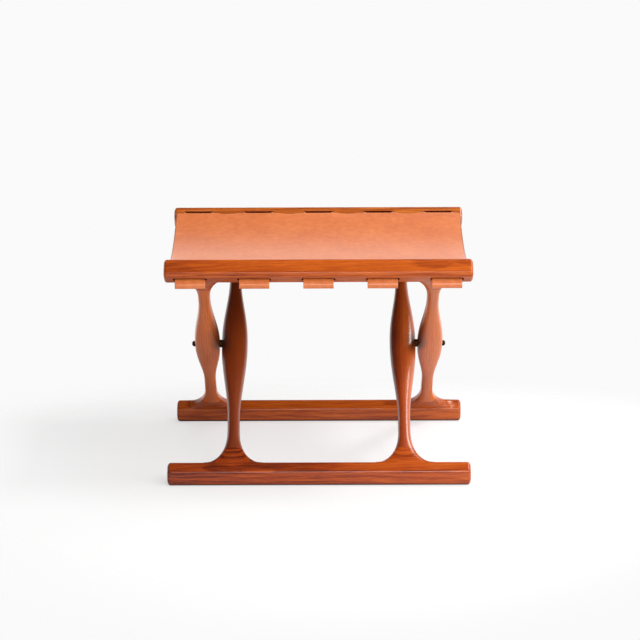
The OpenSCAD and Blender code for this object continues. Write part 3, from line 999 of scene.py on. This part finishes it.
# Each leg's grain: shift, heart, tint and what else sets its wood apart; the tints hold painted sheen and
# painted shade
LEG_WOODS = {
    "outer_left_leg": ((0.31, 0.02, 0.3), (0.07, -0.04), SHEEN_PAINTED_TINT, {}),
    "outer_right_leg": ((0.83, 0.04, -0.2), (0.06, 0.05), SHEEN_PAINTED_TINT,
                        {"darker_left": 14, "even_x": OUTER_LEG_X * MM}),
    "inner_left_leg": ((0.12, -0.07, 0.24), (-0.06, -0.05), SHADY_TINT,
                       {"darker_left": 12, "even_x": -INNER_LEG_X * MM, "shine": 0.8}),
    "inner_right_leg": ((0.55, 0.05, -0.14), (0.05, -0.06), SHADE_PAINTED_TINT,
                        {"darker_left": 28, "even_x": (INNER_LEG_X + 2) * MM, "shine": 0.95,
                         "painted_light_above": 0.45}),
}

# The last value of each frame draws the painted shade round its spacers out upward
for half, leg_x, lean, place, flats, rise_share in (
        ("outer", OUTER_LEG_X, LEAN, LEAN_OUTER, OUTER_FLATS, 0.2),
        ("inner", INNER_LEG_X, -LEAN, LEAN_INNER, INNER_FLATS, 1.0)):
    for hand, side in (("left", -1), ("right", 1)):
        node = f"{half}_{hand}_leg"
        shift, heart, tint, look = LEG_WOODS[node]
        wood = leg_wood(f"{node}_grain", lean, shift, heart, tint, rise_share=rise_share, **look)
        dress(leg(f"{node}_wood", side, leg_x, place, flats), f"{half}_frame", "wood", [node], wood)

# The rails' darkening toward -X is painted shade, for light that falls from the right
SEAT_RAIL_HEART = (0.040, -0.036)
FOOT_RAIL_HEART = (0.036, -0.030)
# A dark wood for the slots' insides: painted shade
slot_shade_wood = rail_wood("slot_painted_shade_grain", (0.3, 0.1, 0.2), (0.05, 0.05), SLOT_SHADE_TINT)
dress(seat_rail("outer_seat_rail_wood", OUTER_LEG_X, LEAN_OUTER),
      "outer_frame", "wood", ["outer_seat_rail"],
      rail_wood("front_seat_rail_grain", (0.46, 0.16, -0.34), SEAT_RAIL_HEART, SEAT_TINT,
                rings=0.95, darker_left=0.3),
      slot_shade_wood)
dress(seat_rail("inner_seat_rail_wood", INNER_LEG_X, LEAN_INNER),
      "inner_frame", "wood", ["inner_seat_rail"],
      rail_wood("back_seat_rail_grain", (0.9, -0.16, -0.34), SEAT_RAIL_HEART, BACK_TINT),
      slot_shade_wood)
dress(foot_rail("outer_foot_rail_wood", OUTER_LEG_X, TO_METRES),
      "outer_frame", "wood", ["outer_foot_rail"],
      rail_wood("back_foot_rail_grain", (0.2, -0.18, -0.02), FOOT_RAIL_HEART, REAR_FOOT_TINT,
                darker_left=0.3, soiled=0.85))
dress(foot_rail("inner_foot_rail_wood", INNER_LEG_X, BACK_TO_FRONT @ TO_METRES),
      "inner_frame", "wood", ["inner_foot_rail"],
      rail_wood("front_foot_rail_grain", (0.7, 0.18, -0.02), FOOT_RAIL_HEART, FOOT_TINT,
                rings=1.15, darker_left=0.9, soiled=0.85))

brass = aged_brass()
for hand, side in (("left", -1), ("right", 1)):
    dress(pivot_bolt(f"{hand}_bolt_brass", side), "inner_frame", "brass", [f"{hand}_pivot_bolt"], brass)
    dress(spacer(f"{hand}_spacer_brass", side), "inner_frame", "brass", [f"{hand}_spacer"], brass)

peg_wood = rail_wood("peg_grain", (0.1, 0.1, 0.1), (0.05, 0.05), FOOT_TINT)
dress(loop_pegs("front_loop_pegs_wood", -1), "outer_frame", "wood", ["front_loop_pegs"], peg_wood)
dress(loop_pegs("back_loop_pegs_wood", 1), "inner_frame", "wood", ["back_loop_pegs"], peg_wood)

sling = leather_sheet("leather_sling")
dress(sling, None, "leather", ["leather_seat"], tan_leather(), cut_leather_edge(), leather_flesh_side())
apply_modifiers(sling)
2 * ROLL_END * MM
sheet_area()
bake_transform(sling)

hidden_wood = rail_wood("dowel_grain", (0.6, 0.2, 0.1), (0.05, 0.05), FOOT_TINT)
for node, material in (("outer_dowels", hidden_wood), ("inner_dowels", hidden_wood),
                       ("left_insert", brass), ("right_insert", brass)):
    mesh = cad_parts[node].data
    mesh.materials.clear()
    mesh.materials.append(material)


# Studio

WHITE = (0.955, 0.955, 0.955)
PAPER = (0.88, 0.88, 0.88)
PAPER_GLOW = 1.17
PAPER_GLOW_SHARE = 0.50
FADE_START = 0.30
FADE_END = 0.62
BACKDROP_LEVEL = 1.6
SIDE_LEVEL = 1.1
CEILING_LEVEL = 0.12
FRONT_GROUND_LEVEL = 0.68
BACK_GROUND_LEVEL = 0.35

LAMP_AIM = (0, 0, 0.2)
LAMPS = [
    ("overhead", (0.75, 1.05, 2.75), (1.3, 1.3), 13),
    ("high_right", (2.08, 0.00, 3.15), (1.2, 0.7), 48),
    ("front_right", (1.35, -1.86, 2.12), (1.6, 1.6), 33),
    ("front_middle", (0.45, -3.00, 1.85), (1.4, 1.0), 38),
    ("low_right", (2.10, -1.60, 0.70), (0.35, 1.2), 11),
]

CAMERA_EYE = (0, -4.754, 1.509)
CAMERA_AIM = (0.0023, 0, 0.2260)
CAMERA_ROLL = math.radians(-0.173)
SENSOR_WIDTH = 36
FRAME_PIXELS = 640
FOCAL_PIXELS = 2975


def studio_floor():
    """A white floor that fades into the white background well outside the stool's shadow."""
    bm = bmesh.new()
    bmesh.ops.create_grid(bm, x_segments=1, y_segments=1, size=3)
    floor = finished("studio_floor", bm, Matrix.Identity(4))
    f = Finish("studio_floor_white")
    place = f.coordinates()
    x = f.part(place, "X")
    y = f.part(place, "Y") - 0.1
    behind = y.larger(0)
    away = (x * x * 0.6 + y * y * 0.35 + behind * behind * 2.6).root()
    paper = f.node("ShaderNodeBsdfDiffuse", values={"Color": PAPER})
    white = f.node("ShaderNodeEmission", values={"Color": WHITE, "Strength": PAPER_GLOW})
    clear = f.node("ShaderNodeBsdfTransparent")
    seen = f.light_path("Is Camera Ray")
    lit = f.node("ShaderNodeMixShader", values={0: seen * PAPER_GLOW_SHARE, 1: paper, 2: white})
    faded = f.node("ShaderNodeMixShader", values={0: away.step(FADE_START, FADE_END), 1: lit, 2: clear})
    f.node("ShaderNodeOutputMaterial", values={"Surface": faded})
    floor.data.materials.append(f.material)


def studio_world():
    """White backdrop, a bright right side, a dim ceiling, and a dark room on the camera's side."""
    world = bpy.data.worlds.new("studio_room")
    bpy.context.scene.world = world
    f = Finish("studio_room", world)
    way = f.node("ShaderNodeTexCoord", output="Generated")
    back = f.part(way, "Y")
    up = f.part(way, "Z")
    backdrop = back.step(-0.15, 0.5) * (1 - up.step(0.30, 0.60))
    ground = 1 - up.step(-0.04, 0.0)
    front_ground = ground * (1 - back.step(-0.4, 0.0)) * FRONT_GROUND_LEVEL
    back_ground = ground * back.step(-0.4, 0.0) * BACK_GROUND_LEVEL
    ceiling = up.step(0.35, 0.95) * CEILING_LEVEL
    side = f.part(way, "X").step(0.50, 0.92) * (1 - ground) * (1 - backdrop) * SIDE_LEVEL
    level = backdrop * (1 - ground) * BACKDROP_LEVEL + front_ground + back_ground + ceiling + side
    seen = f.light_path("Is Camera Ray")
    mirrored = (f.light_path("Is Glossy Ray") + f.light_path("Is Transmission Ray")) * backdrop
    white = (seen + mirrored).smaller(1)
    strength = level * (1 - white) + seen + mirrored * BACKDROP_LEVEL
    shade = f.node("ShaderNodeBackground", values={"Color": WHITE, "Strength": strength})
    f.node("ShaderNodeOutputWorld", values={"Surface": shade})


def soft_light(name, place, size, power):
    light = bpy.data.lights.new(name, "AREA")
    light.shape = "RECTANGLE"
    light.size, light.size_y = size
    light.energy = power
    lamp = bpy.data.objects.new(name, light)
    lamp.location = place
    lamp.rotation_euler = (Vector(LAMP_AIM) - Vector(place)).to_track_quat("-Z", "Y").to_euler()
    bpy.context.scene.collection.objects.link(lamp)


def photo_camera():
    """The photograph's view: 15 degrees down, from 4.75 metres in front."""
    data = bpy.data.cameras.new("photo_camera")
    data.sensor_width = SENSOR_WIDTH
    data.lens = FOCAL_PIXELS / FRAME_PIXELS * SENSOR_WIDTH
    data.clip_end = 100
    camera = bpy.data.objects.new("photo_camera", data)
    eye = Vector(CAMERA_EYE)
    level = (Vector(CAMERA_AIM) - eye).to_track_quat("-Z", "Y").to_matrix().to_4x4()
    camera.matrix_world = Matrix.Translation(eye) @ level @ Matrix.Rotation(CAMERA_ROLL, 4, "Z")
    bpy.context.scene.collection.objects.link(camera)
    bpy.context.scene.camera = camera


studio_floor()
studio_world()
for lamp_name, place, size, power in LAMPS:
    soft_light(lamp_name, place, size, power)
photo_camera()
bpy.context.scene.view_settings.view_transform = "Standard"
